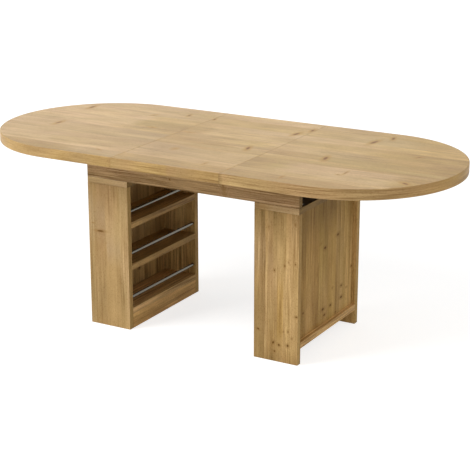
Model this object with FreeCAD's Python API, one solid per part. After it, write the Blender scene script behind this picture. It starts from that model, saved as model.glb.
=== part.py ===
import FreeCAD, Part
import math
import os

# Extending dining table, in millimetres. Its origin is on the floor under the middle of the top,
# X runs along the table, the front faces -Y and Z points up. The loose leaf is in place, so the two
# half-tops stand apart. Each half-top slides on two runners, which hang in channels on the aprons.

# Whole table with its leaf in
table_length = 2000.0
table_width = 900.0
table_height = 770.0

# Top: two half-tops with curved ends, and a straight leaf between them
top_thickness = 41.0
end_reach = 430.0
leaf_width = 476.0
rim_band_thickness = 3.0
rim_edge_radius = 2.5
seam_band_thickness = 1.0
seam_gap = 0.3
slide_gap = 0.3
over_travel = 30.0

# Base: two pedestals of boards, joined under the top by two aprons
frame_length = 956.0
pedestal_width = 190.0
pedestal_depth = 540.0
board_thickness = 25.0
apron_height = 104.0

# Inside of a pedestal, from the floor up and from its faces inwards
plinth_height = 62.0
lower_bay_share = 0.35
middle_bay_share = 0.3265
shelf_setback = 1.0
side_panel_thickness = 16.0
side_panel_setback = 17.0
groove_depth = 6.0
rod_diameter = 12.0
rod_height = 44.0
rod_setback = 12.0
rod_depth = 9.0

# Dowels, cam locks and screws
fit_gap = 0.1
dowel_diameter = 8.0
dowel_depth = 20.0
dowel_inset = 40.0
plinth_dowel_depth = 15.0
plinth_dowel_spacing = 160.0
cam_diameter = 15.0
cam_height = 16.0
cam_distance = 34.0
cam_inset = 40.0
cam_slot_width = 2.0
cam_slot_depth = 2.0
cam_bolt_diameter = 6.0
cam_bolt_depth = 11.0
screw_diameter = 4.0
screw_length = 16.0
screw_tip = 4.0
screw_head_diameter = 8.0
screw_head_height = 2.4
screw_head_taper = 1.0
bearer_screw_length = 35.0

# Tie and bearers inside the frame, on which the leaf lies when it is put away
tie_width = 90.0
bearer_height = 15.0
bearer_width = 20.0
bearer_overlap = 62.0
bearer_screw_inset = 40.0

# Angle brackets between aprons and capping boards
bracket_leg = 40.0
bracket_gauge = 2.0
bracket_width = 30.0
bracket_inset = 28.0
bracket_spacing = 60.0
bracket_hole_distance = 25.0

# Channels on the aprons, the runners in them and the pins that stop the runners
channel_height = 42.0
channel_depth = 12.0
channel_gauge = 1.5
channel_lip = 5.0
channel_inset = 8.0
channel_drop = 2.0
channel_screw_shares = (-0.9, -0.3, 0.3, 0.9)
runner_gauge = 3.0
runner_flange = 27.5
runner_gap = 0.3
runner_leg_gap = 0.5
runner_end_gap = 9.0
runner_screw_shares = (0.06, 0.35, 0.65, 0.94)
stop_pin_diameter = 6.0
stop_pin_inset = 10.0
stop_pin_height = 12.0
stop_pin_reach = 6.0
stop_pin_grip = 10.0

# Seam plates under the half-tops, and pegs under the leaf
seam_plate_thickness = 3.0
seam_plate_width = 50.0
seam_plate_grip = 30.0
seam_plate_reach = 20.0
seam_plate_far = 150.0
seam_plate_near = 90.0
peg_diameter = 8.0
peg_depth = 14.0
peg_drop = 12.0
peg_inset = 58.0
peg_gap = 0.5

# One overrun for every cut, and how much of a wall a rounded edge may take
overrun = 5.0
edge_radius_share = 0.9

# Levels and faces that follow from the sizes above
top_underside = table_height - top_thickness
apron_top = top_underside - slide_gap
apron_bottom = apron_top - apron_height
pedestal_height = apron_bottom - board_thickness
frame_end = frame_length / 2
frame_face = pedestal_depth / 2
inner_face = frame_face - board_thickness
apron_middle = frame_face - board_thickness / 2
leaf_edge = leaf_width / 2
seam_face = leaf_edge + seam_gap
bays_height = pedestal_height - plinth_height - 3 * board_thickness
shelf_levels = {
    "bottom": plinth_height,
    "middle": plinth_height + board_thickness + bays_height * lower_bay_share,
    "upper": plinth_height + 2 * board_thickness + bays_height * (lower_bay_share + middle_bay_share),
}
channel_top = top_underside - channel_drop
channel_bottom = channel_top - channel_height
channel_end = frame_end - channel_inset
channel_face = inner_face - channel_depth
stop_pin_x = channel_end - stop_pin_inset

sides = {"left": -1, "right": 1}
faces = {"front": -1, "back": 1}
both = (-1, 1)
along_x = FreeCAD.Vector(1, 0, 0)
along_y = FreeCAD.Vector(0, 1, 0)
along_z = FreeCAD.Vector(0, 0, 1)


def box(x_limits, y_limits, z_limits):
    """Box between two places along each axis, given in either order."""
    limits = [sorted(pair) for pair in (x_limits, y_limits, z_limits)]
    corner = FreeCAD.Vector(*[low for low, high in limits])
    return Part.makeBox(*[high - low for low, high in limits], corner)


def pin(start, direction, diameter, length):
    """Round pin with square ends."""
    return Part.makeCylinder(diameter / 2, length, start, direction)


def drilled(shape, pins, gap=fit_gap):
    """Shape with a hole for each pin that reaches it, larger than the pin by a gap all round."""
    holes = []
    for start, direction, diameter, length in pins:
        hole = pin(start - direction * gap, direction, diameter + 2 * gap, length + 2 * gap)
        if hole.BoundBox.intersect(shape.BoundBox):
            holes.append(hole)
    if not holes:
        return shape
    return shape.cut(holes).Solids[0]


def screw(seat, direction, diameter, length):
    """Pan-head screw: the head stands on its seat and the shank points along the direction."""
    shank = Part.makeCylinder(diameter / 2, length - screw_tip, seat, direction)
    tip = Part.makeCone(diameter / 2, 0, screw_tip, seat + direction * (length - screw_tip), direction)
    head_radius = screw_head_diameter / 2
    head = Part.makeCone(head_radius, head_radius - screw_head_taper, screw_head_height, seat, -direction)
    return shank.fuse([tip, head]).removeSplitter().Solids[0]


def countersink(seat, direction, gap):
    """Cone of a flat screw head, as deep as the channel's wall, with its wide end at the seat."""
    wide = screw_head_diameter / 2 + gap
    narrow = screw_diameter / 2 + gap
    return Part.makeCone(wide, narrow, channel_gauge, seat, direction)


def flat_screw(seat, direction, diameter, length):
    """Countersunk screw whose head is level with its seat."""
    shank = Part.makeCylinder(diameter / 2, length - screw_tip, seat, direction)
    tip = Part.makeCone(diameter / 2, 0, screw_tip, seat + direction * (length - screw_tip), direction)
    return shank.fuse([tip, countersink(seat, direction, 0)]).removeSplitter().Solids[0]


def pedestal_x(side, distance):
    """X of a place in a pedestal, at a distance in from the pedestal's outer face."""
    return side * (frame_end - distance)


# Places of pins and screws, each as start, direction, diameter and length


def frame_dowel_pins():
    """Dowels that stand through the capping boards, from the panels into the aprons."""
    pins = []
    for side in both:
        for face in both:
            for distance in (dowel_inset, pedestal_width - dowel_inset):
                start = FreeCAD.Vector(pedestal_x(side, distance), face * apron_middle,
                                       pedestal_height - dowel_depth)
                pins.append((start, along_z, dowel_diameter, board_thickness + 2 * dowel_depth))
    return pins


def tie_dowel_pins():
    """Dowels between the ends of the tie and the aprons."""
    pins = []
    for face in both:
        for side in both:
            start = FreeCAD.Vector(side * tie_width / 4, face * (inner_face - dowel_depth),
                                   apron_bottom + bearer_height / 2)
            pins.append((start, along_y * face, dowel_diameter, 2 * dowel_depth))
    return pins


def plinth_dowel_pins():
    """Dowels between the plinths and the bottom shelves."""
    pins = []
    for side in both:
        for place in (-plinth_dowel_spacing, 0, plinth_dowel_spacing):
            start = FreeCAD.Vector(pedestal_x(side, pedestal_width - board_thickness / 2), place,
                                   plinth_height - plinth_dowel_depth)
            pins.append((start, along_z, dowel_diameter, 2 * plinth_dowel_depth))
    return pins


def rod_pins(side):
    """The three rods of one pedestal, from the lowest up. Their ends stand in the panels."""
    pins = []
    for level in shelf_levels.values():
        start = FreeCAD.Vector(pedestal_x(side, pedestal_width - rod_setback), -inner_face - rod_depth,
                               level + board_thickness + rod_height)
        pins.append((start, along_y, rod_diameter, 2 * (inner_face + rod_depth)))
    return pins


def shelf_limits(side, level_name):
    """X limits of a shelf. The bottom one fills the pedestal, the others stop at the side panel."""
    if level_name == "bottom":
        return pedestal_x(side, 0), pedestal_x(side, pedestal_width)
    far = side_panel_setback + side_panel_thickness
    return pedestal_x(side, far), pedestal_x(side, pedestal_width - shelf_setback)


def cam_places(side):
    """Middles of one pedestal's cams, in the undersides of its shelves, and the panel each faces."""
    places = []
    for level_name, level in shelf_levels.items():
        outer, inner = shelf_limits(side, level_name)
        for x in (outer - side * cam_inset, inner + side * cam_inset):
            for face in both:
                places.append((FreeCAD.Vector(x, face * (inner_face - cam_distance), level), face))
    return places


def cam_bolt_pins(side):
    """Bolts that stand in the panels and reach the middles of the cams."""
    pins = []
    for place, face in cam_places(side):
        start = place + along_z * (board_thickness / 2)
        pins.append((start, along_y * face, cam_bolt_diameter, cam_distance + cam_bolt_depth))
    return pins


def bracket_places():
    """Middles of the brackets along X, with the side and the apron that each belongs to."""
    places = []
    for side in both:
        for face in both:
            for distance in (bracket_inset, bracket_inset + bracket_spacing):
                places.append((pedestal_x(side, distance), face))
    return places


def bracket_screw_pins():
    """Two screws to a bracket: one down into the capping board and one out into the apron."""
    pins = []
    for x, face in bracket_places():
        down = FreeCAD.Vector(x, face * (inner_face - bracket_hole_distance), apron_bottom + bracket_gauge)
        out = FreeCAD.Vector(x, face * (inner_face - bracket_gauge), apron_bottom + bracket_hole_distance)
        pins.append((down, -along_z, screw_diameter, screw_length))
        pins.append((out, along_y * face, screw_diameter, screw_length))
    return pins


def bearer_limits(side):
    """X limits of a bearer, which starts beside the tie and ends over a capping board."""
    return side * tie_width / 2, pedestal_x(side, pedestal_width - bearer_overlap)


def bearer_screw_pins():
    """Two screws to a bearer, through it and into the apron."""
    pins = []
    for side in both:
        near, far = bearer_limits(side)
        for face in both:
            for x in (near + side * bearer_screw_inset, far - side * bearer_screw_inset):
                start = FreeCAD.Vector(x, face * (inner_face - bearer_width),
                                       apron_bottom + bearer_height / 2)
                pins.append((start, along_y * face, screw_diameter, bearer_screw_length))
    return pins


def channel_screw_pins(face):
    """Screws of one channel, from inside it into the apron."""
    pins = []
    for share in channel_screw_shares:
        start = FreeCAD.Vector(share * channel_end, face * (inner_face - channel_gauge),
                               (channel_bottom + channel_top) / 2)
        pins.append((start, along_y * face, screw_diameter, screw_length))
    return pins


def stop_pins():
    """Pins held by the aprons that stand in the runners' grooves."""
    pins = []
    for side in both:
        for face in both:
            start = FreeCAD.Vector(side * stop_pin_x, face * (inner_face + stop_pin_grip),
                                   channel_bottom + stop_pin_height)
            length = stop_pin_grip + channel_gauge + stop_pin_reach
            pins.append((start, -along_y * face, stop_pin_diameter, length))
    return pins


def leaf_peg_pins():
    """Pegs that stand in the leaf and drop into the tops of the aprons."""
    pins = []
    for side in both:
        for face in both:
            start = FreeCAD.Vector(side * (leaf_edge - peg_inset), face * apron_middle,
                                   top_underside + peg_depth)
            pins.append((start, -along_z, peg_diameter, peg_depth + peg_drop))
    return pins


def runner_limits(side):
    """X limits of a runner with the leaf in. Closed, it fills its half of the channel."""
    return side * (leaf_edge + runner_end_gap), side * (leaf_edge + channel_end)


def seam_plate_places(side):
    """Y places of one half-top's plates, so that those of the other half-top pass beside them."""
    return side * seam_plate_far, -side * seam_plate_near


def top_screw_pins(side):
    """Screws of one half-top: up through its runners' flanges and through its seam plates."""
    pins = []
    near, far = runner_limits(side)
    flange_middle = channel_face - runner_leg_gap - runner_flange / 2
    for face in both:
        for share in runner_screw_shares:
            seat = FreeCAD.Vector(near + share * (far - near), face * flange_middle,
                                  top_underside - runner_gauge)
            pins.append((seat, along_z, screw_diameter, screw_length))
    for place in seam_plate_places(side):
        for turn in both:
            seat = FreeCAD.Vector(side * (seam_face + seam_plate_grip / 2),
                                  place + turn * seam_plate_width / 4, apron_top - seam_plate_thickness)
            pins.append((seat, along_z, screw_diameter, screw_length))
    return pins


# Boards of a pedestal


def panel(side, face):
    """Front or back panel: grooved for the side panel and drilled for rods, bolts and dowels."""
    blank = box((pedestal_x(side, 0), pedestal_x(side, pedestal_width)),
                (face * inner_face, face * frame_face), (0, pedestal_height))
    groove = box((pedestal_x(side, side_panel_setback),
                  pedestal_x(side, side_panel_setback + side_panel_thickness)),
                 (face * (inner_face - overrun), face * (inner_face + groove_depth)),
                 (plinth_height + board_thickness, pedestal_height + overrun))
    pins = rod_pins(side) + cam_bolt_pins(side) + frame_dowel_pins()
    return drilled(blank.cut(groove), pins)


def side_panel(side):
    """Panel set back from the outer face, held in the grooves of the front and back panels."""
    half = inner_face + groove_depth
    return box((pedestal_x(side, side_panel_setback),
                pedestal_x(side, side_panel_setback + side_panel_thickness)),
               (-half, half), (plinth_height + board_thickness, pedestal_height))


def capping_board(side):
    """Board that closes a pedestal and carries the aprons."""
    blank = box((pedestal_x(side, 0), pedestal_x(side, pedestal_width)),
                (-frame_face, frame_face), (pedestal_height, apron_bottom))
    return drilled(blank, frame_dowel_pins() + bracket_screw_pins())


def shelf(side, level_name):
    """Shelf between the panels, bored from below for its cams and from its ends for their bolts."""
    level = shelf_levels[level_name]
    blank = box(shelf_limits(side, level_name), (-inner_face, inner_face), (level, level + board_thickness))
    cams = [(place, along_z, cam_diameter, cam_height) for place, face in cam_places(side)]
    return drilled(blank, cams + cam_bolt_pins(side) + plinth_dowel_pins())


def plinth(side):
    """Board that closes the foot of a pedestal below its open side."""
    blank = box((pedestal_x(side, pedestal_width - board_thickness), pedestal_x(side, pedestal_width)),
                (-inner_face, inner_face), (0, plinth_height))
    return drilled(blank, plinth_dowel_pins())


def cam_locks(side):
    """Cams of one pedestal: each has a slot for a screwdriver below and a bore for its bolt."""
    cams = []
    for place, face in cam_places(side):
        cam = pin(place, along_z, cam_diameter, cam_height)
        slot = box((place.x - cam_diameter, place.x + cam_diameter),
                   (place.y - cam_slot_width / 2, place.y + cam_slot_width / 2),
                   (place.z - overrun, place.z + cam_slot_depth))
        cams.append(drilled(cam.cut(slot), cam_bolt_pins(side)))
    return cams


# Frame between the pedestals


def apron(face):
    """Long rail under the top, drilled for everything that is fixed to it."""
    blank = box((-frame_end, frame_end), (face * inner_face, face * frame_face), (apron_bottom, apron_top))
    pins = frame_dowel_pins() + tie_dowel_pins() + bracket_screw_pins() + bearer_screw_pins()
    rail = drilled(blank, pins + channel_screw_pins(face) + stop_pins())
    return drilled(rail, leaf_peg_pins(), peg_gap)


def centre_tie():
    """Flat board between the aprons, in the middle of the table."""
    blank = box((-tie_width / 2, tie_width / 2), (-inner_face, inner_face),
                (apron_bottom, apron_bottom + bearer_height))
    return drilled(blank, tie_dowel_pins())


def leaf_bearers(face):
    """Two battens along the foot of one apron."""
    battens = []
    for side in both:
        batten = box(bearer_limits(side), (face * inner_face, face * (inner_face - bearer_width)),
                     (apron_bottom, apron_bottom + bearer_height))
        battens.append(drilled(batten, bearer_screw_pins()))
    return battens


def frame_brackets():
    """Steel angles in the corners between aprons and capping boards."""
    brackets = []
    for x, face in bracket_places():
        width = (x - bracket_width / 2, x + bracket_width / 2)
        foot = box(width, (face * inner_face, face * (inner_face - bracket_leg)),
                   (apron_bottom, apron_bottom + bracket_gauge))
        leg = box(width, (face * inner_face, face * (inner_face - bracket_gauge)),
                  (apron_bottom, apron_bottom + bracket_leg))
        brackets.append(drilled(foot.fuse(leg).removeSplitter().Solids[0], bracket_screw_pins()))
    return brackets


def channel(face):
    """C-shaped steel channel on one apron, open towards the middle of the table."""
    ends = (-channel_end, channel_end)
    past_ends = (-channel_end - overrun, channel_end + overrun)
    blank = box(ends, (face * inner_face, face * channel_face), (channel_bottom, channel_top))
    hollow = box(past_ends, (face * (inner_face - channel_gauge), face * (channel_face + channel_gauge)),
                 (channel_bottom + channel_gauge, channel_top - channel_gauge))
    mouth = box(past_ends, (face * (inner_face - channel_gauge), face * (channel_face - overrun)),
                (channel_bottom + channel_lip, channel_top - channel_lip))
    sinks = [countersink(seat, direction, fit_gap) for seat, direction, _, _ in channel_screw_pins(face)]
    return drilled(blank.cut([hollow, mouth] + sinks), stop_pins())


# Sliding half-tops


def end_curve(side, inset):
    """Half an ellipse round the end of the table, drawn in by an inset."""
    reach = end_reach - inset
    half_width = table_width / 2 - inset
    centre = along_x * side * (table_length / 2 - end_reach)
    tip = centre + along_x * side * reach
    flank = centre + along_y * half_width
    if reach > half_width:
        return Part.ArcOfEllipse(Part.Ellipse(tip, flank, centre), -math.pi / 2, math.pi / 2).toShape()
    return Part.ArcOfEllipse(Part.Ellipse(flank, tip, centre), 0, math.pi).toShape()


def half_top_slab(side, rim_inset, seam_inset, z_limits):
    """Slab in the plan of a half-top, drawn in from its rim and from its seam."""
    seam = side * (seam_face + seam_inset)
    half_width = table_width / 2 - rim_inset
    curve = end_curve(side, rim_inset)
    curve_ends = sorted((vertex.Point for vertex in curve.Vertexes), key=lambda point: point.y)
    seam_ends = [FreeCAD.Vector(seam, -half_width, 0), FreeCAD.Vector(seam, half_width, 0)]
    edges = [
        Part.makeLine(curve_ends[0], seam_ends[0]),
        Part.makeLine(seam_ends[0], seam_ends[1]),
        Part.makeLine(seam_ends[1], curve_ends[1]),
        curve,
    ]
    plan = Part.Face(Part.Wire(edges))
    low, high = z_limits
    plan.translate(along_z * low)
    return plan.extrude(along_z * (high - low))


def rounded_rim(slab):
    """Slab whose level edges are rounded, apart from those that run across the table."""
    rim = [edge for edge in slab.Edges
           if edge.BoundBox.ZLength < fit_gap and edge.BoundBox.XLength > fit_gap]
    return slab.makeFillet(min(rim_edge_radius, rim_band_thickness * edge_radius_share), rim)


def half_top(side):
    """Core board of a half-top, inside its edge bands."""
    slab = half_top_slab(side, rim_band_thickness, seam_band_thickness, (top_underside, table_height))
    return drilled(slab, top_screw_pins(side))


def rim_band(side):
    """Edge band round a half-top's curved rim, with soft corners."""
    whole = rounded_rim(half_top_slab(side, 0, 0, (top_underside, table_height)))
    past_both = (top_underside - overrun, table_height + overrun)
    core = half_top_slab(side, rim_band_thickness, -overrun, past_both)
    return whole.cut(core).Solids[0]


def seam_band(side, face_x):
    """Edge band on a face that meets its neighbour at a seam."""
    half = table_width / 2 - rim_band_thickness
    return box((side * face_x, side * (face_x + seam_band_thickness)), (-half, half),
               (top_underside, table_height))


def runner(side, face):
    """Aluminium runner: a bar in the channel, a leg beside it and a flange under the half-top."""
    length = runner_limits(side)
    leg_face = channel_face - runner_leg_gap
    bar_face = channel_face + channel_gauge + runner_gap
    bar = box(length, (face * (inner_face - channel_gauge - runner_gap), face * bar_face),
              (channel_bottom + channel_gauge + runner_gap, channel_top - channel_gauge - runner_gap))
    neck_bottom = channel_bottom + channel_lip + runner_gap
    neck = box(length, (face * bar_face, face * leg_face),
               (neck_bottom, channel_top - channel_lip - runner_gap))
    leg = box(length, (face * leg_face, face * (leg_face - runner_gauge)), (neck_bottom, top_underside))
    flange = box(length, (face * leg_face, face * (leg_face - runner_flange)),
                 (top_underside - runner_gauge, top_underside))
    play = stop_pin_diameter / 2 + runner_gap
    groove = box((side * (stop_pin_x - over_travel - play), side * (stop_pin_x + leaf_edge + play)),
                 (face * inner_face, face * (inner_face - channel_gauge - stop_pin_reach - runner_gap)),
                 (channel_bottom + stop_pin_height - play, channel_bottom + stop_pin_height + play))
    profile = bar.fuse([neck, leg, flange]).removeSplitter()
    return drilled(profile.cut(groove), top_screw_pins(side))


def seam_plates(side):
    """Steel plates under a half-top that reach out to carry the leaf's edge."""
    plates = []
    for place in seam_plate_places(side):
        plate = box((side * (seam_face + seam_plate_grip), side * (leaf_edge - seam_plate_reach)),
                    (place - seam_plate_width / 2, place + seam_plate_width / 2),
                    (apron_top - seam_plate_thickness, apron_top))
        plates.append(drilled(plate, top_screw_pins(side)))
    return plates


# Loose leaf


def leaf_board():
    """Core board of the leaf, inside its edge bands."""
    half_length = leaf_edge - seam_band_thickness
    half_width = table_width / 2 - rim_band_thickness
    slab = box((-half_length, half_length), (-half_width, half_width), (top_underside, table_height))
    return drilled(slab, leaf_peg_pins())


def leaf_edge_bands():
    """Edge bands on the two short sides that continue the table's rim."""
    whole = rounded_rim(box((-leaf_edge, leaf_edge), (-table_width / 2, table_width / 2),
                            (top_underside, table_height)))
    half = table_width / 2 - rim_band_thickness
    core = box((-leaf_edge - overrun, leaf_edge + overrun), (-half, half),
               (top_underside - overrun, table_height + overrun))
    return whole.cut(core).Solids


def save(name, solids):
    """Write one solid, or a group of like solids, as a sub-part."""
    Part.makeCompound(solids).exportStep(os.path.join("parts", name + ".step"))


os.makedirs("parts", exist_ok=True)

for side_name, side in sides.items():
    for face_name, face in faces.items():
        save(f"{side_name}_{face_name}_panel", [panel(side, face)])
        save(f"{side_name}_{face_name}_runner", [runner(side, face)])
    save(f"{side_name}_side_panel", [side_panel(side)])
    save(f"{side_name}_capping_board", [capping_board(side)])
    for level_name in shelf_levels:
        save(f"{side_name}_{level_name}_shelf", [shelf(side, level_name)])
    save(f"{side_name}_plinth", [plinth(side)])
    for rod_name, rod in zip(("lower", "middle", "upper"), rod_pins(side)):
        save(f"{side_name}_{rod_name}_rod", [pin(*rod)])
    save(f"{side_name}_cam_locks", cam_locks(side))
    save(f"{side_name}_cam_bolts", [pin(*bolt) for bolt in cam_bolt_pins(side)])
    save(f"{side_name}_half_top", [half_top(side)])
    save(f"{side_name}_rim_band", [rim_band(side)])
    save(f"{side_name}_seam_band", [seam_band(side, seam_face)])
    save(f"{side_name}_seam_plates", seam_plates(side))
    save(f"{side_name}_top_screws", [screw(*place) for place in top_screw_pins(side)])

for face_name, face in faces.items():
    save(f"{face_name}_apron", [apron(face)])
    save(f"{face_name}_leaf_bearers", leaf_bearers(face))
    save(f"{face_name}_channel", [channel(face)])

save("centre_tie", [centre_tie()])
save("frame_dowels", [pin(*dowel) for dowel in frame_dowel_pins()])
save("tie_dowels", [pin(*dowel) for dowel in tie_dowel_pins()])
save("plinth_dowels", [pin(*dowel) for dowel in plinth_dowel_pins()])
save("frame_brackets", frame_brackets())
save("bracket_screws", [screw(*place) for place in bracket_screw_pins()])
save("bearer_screws", [screw(*place) for place in bearer_screw_pins()])
save("channel_screws", [flat_screw(*place) for face in both for place in channel_screw_pins(face)])
save("stop_pins", [pin(*place) for place in stop_pins()])

save("leaf_board", [leaf_board()])
save("leaf_edge_bands", leaf_edge_bands())
save("leaf_seam_bands", [seam_band(side, leaf_edge - seam_band_thickness) for side in both])
save("leaf_pegs", [pin(*peg) for peg in leaf_peg_pins()])
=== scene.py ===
import math

import bmesh
import bpy
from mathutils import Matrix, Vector


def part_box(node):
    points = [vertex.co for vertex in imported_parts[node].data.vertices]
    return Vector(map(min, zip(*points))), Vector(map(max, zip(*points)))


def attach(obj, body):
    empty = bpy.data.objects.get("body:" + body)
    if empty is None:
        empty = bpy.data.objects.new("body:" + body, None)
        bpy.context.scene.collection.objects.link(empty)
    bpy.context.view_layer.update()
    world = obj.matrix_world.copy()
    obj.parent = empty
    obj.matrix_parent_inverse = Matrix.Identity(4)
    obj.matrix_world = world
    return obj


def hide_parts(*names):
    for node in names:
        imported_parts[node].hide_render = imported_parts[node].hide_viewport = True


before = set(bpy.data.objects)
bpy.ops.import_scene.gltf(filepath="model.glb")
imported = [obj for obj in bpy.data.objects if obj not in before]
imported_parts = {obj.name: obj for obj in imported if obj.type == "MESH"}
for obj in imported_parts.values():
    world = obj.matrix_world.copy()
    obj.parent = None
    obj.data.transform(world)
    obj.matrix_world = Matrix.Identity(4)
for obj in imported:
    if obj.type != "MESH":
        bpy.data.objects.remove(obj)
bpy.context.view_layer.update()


# Front and back boards of the two pedestals. Each is an upright board of knotty oak, glued up from
# staves that run from floor to top. It is sawn square, its arrises are just eased with sandpaper,
# and cam bolts draw the shelves against its inner face.
MM = 0.001
ARRIS = 0.8 * MM
CREASE = math.radians(30)
# The axes along, across and through the grain, for each way that a board lies.
GRAIN_AXES = {
    "flat_x": "XYZ",
    "flat_y": "YXZ",
    "front_x": "XZY",
    "front_z": "ZXY",
    "side_z": "ZYX",
    "side_y": "YZX",
    "strip": "XYZ",
}


def painted(red, green, blue):
    """A colour as a paint chart gives it, 0 to 255, turned into the shader's own numbers."""
    shares = [value / 255 for value in (red, green, blue)]
    return [s / 12.92 if s <= 0.04045 else ((s + 0.055) / 1.055) ** 2.4 for s in shares] + [1.0]


def node(tree, kind, inputs=None, **settings):
    """A new node. Each input is a plain value or another node's socket."""
    made = tree.nodes.new("ShaderNode" + kind)
    for setting, value in settings.items():
        setattr(made, setting, value)
    for socket, value in (inputs or {}).items():
        if isinstance(value, bpy.types.NodeSocket):
            tree.links.new(value, made.inputs[socket])
        else:
            made.inputs[socket].default_value = value
    return made


def mixed(tree, share, first, second, how="MIX"):
    """One colour going over into another. The numbers are the Mix node's sockets for colours."""
    sockets = {0: share, 6: first, 7: second}
    return node(tree, "Mix", sockets, data_type="RGBA", blend_type=how).outputs[2]


def maths(tree, operation, *values):
    return node(tree, "Math", dict(enumerate(values)), operation=operation).outputs[0]


def vector_maths(tree, operation, *values):
    return node(tree, "VectorMath", dict(enumerate(values)), operation=operation).outputs[0]


def fit_range(tree, value, start, end, low, high):
    limits = {"Value": value, "From Min": start, "From Max": end, "To Min": low, "To Max": high}
    made = node(tree, "MapRange", limits, interpolation_type="SMOOTHSTEP")
    return made.outputs["Result"]


def stretched_noise(tree, grain, along, across, detail, roughness):
    """Noise with so many waves to the metre along the grain, and so many across it."""
    squeezed = vector_maths(tree, "MULTIPLY", grain, (along, across, across))
    settings = {"Vector": squeezed, "Scale": 1.0, "Detail": detail, "Roughness": roughness}
    return node(tree, "TexNoise", settings).outputs[0]


def two_tones(tree, value, deep_at, deep, pale_at, pale):
    """A colour ramp from a deep tone to a pale one."""
    ramp = node(tree, "ValToRGB", {0: value})
    start, end = ramp.color_ramp.elements
    start.position = deep_at
    start.color = painted(*deep)
    end.position = pale_at
    end.color = painted(*pale)
    return ramp.outputs[0]


def finish(tree, colour, rough, bump):
    """Leads the colour, the roughness and the bump to the shader."""
    shader = tree.nodes["Principled BSDF"]
    tree.links.new(colour, shader.inputs["Base Color"])
    tree.links.new(rough, shader.inputs["Roughness"])
    tree.links.new(bump.outputs[0], shader.inputs["Normal"])


def chance_staves(width, length, spread):
    """Staves of uneven width and length. Each gets its own tint and its own stretch of grain."""
    warm = (1.02, 0.995, 0.94, 1)
    cool = (0.98, 0.985, 1.0, 1)
    unevenness = 0.3
    stagger = 3.7
    grain_jump = (9.0, 7.0, 5.0)

    def lay(tree, along, across, seed):
        rows = maths(tree, "DIVIDE", across, width)
        swell = maths(tree, "SINE", maths(tree, "MULTIPLY_ADD", rows, 2.3, seed))
        row = maths(tree, "FLOOR", maths(tree, "MULTIPLY_ADD", swell, unevenness, rows))
        start = node(tree, "TexWhiteNoise", {"W": maths(tree, "ADD", row, seed)}, noise_dimensions="1D")
        lengths = maths(tree, "DIVIDE", along, length)
        lengths = maths(tree, "MULTIPLY_ADD", start.outputs["Value"], stagger, lengths)
        cell = node(tree, "CombineXYZ", {"X": row, "Y": maths(tree, "FLOOR", lengths), "Z": seed})
        luck = node(tree, "TexWhiteNoise", {"Vector": cell.outputs[0]}, noise_dimensions="3D").outputs
        tone = maths(tree, "MULTIPLY_ADD", luck["Value"], 2 * spread, 1 - spread)
        warmth = node(tree, "SeparateColor", {0: luck["Color"]}).outputs[1]
        hue = mixed(tree, warmth, warm, cool)
        tint = node(tree, "VectorMath", {0: hue, "Scale": tone}, operation="SCALE").outputs[0]
        return tint, vector_maths(tree, "MULTIPLY", luck["Color"], grain_jump)

    return lay


FAR_FROM_KNOTS = 9.0
RINGS_PER_METRE = 46.0


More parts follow.
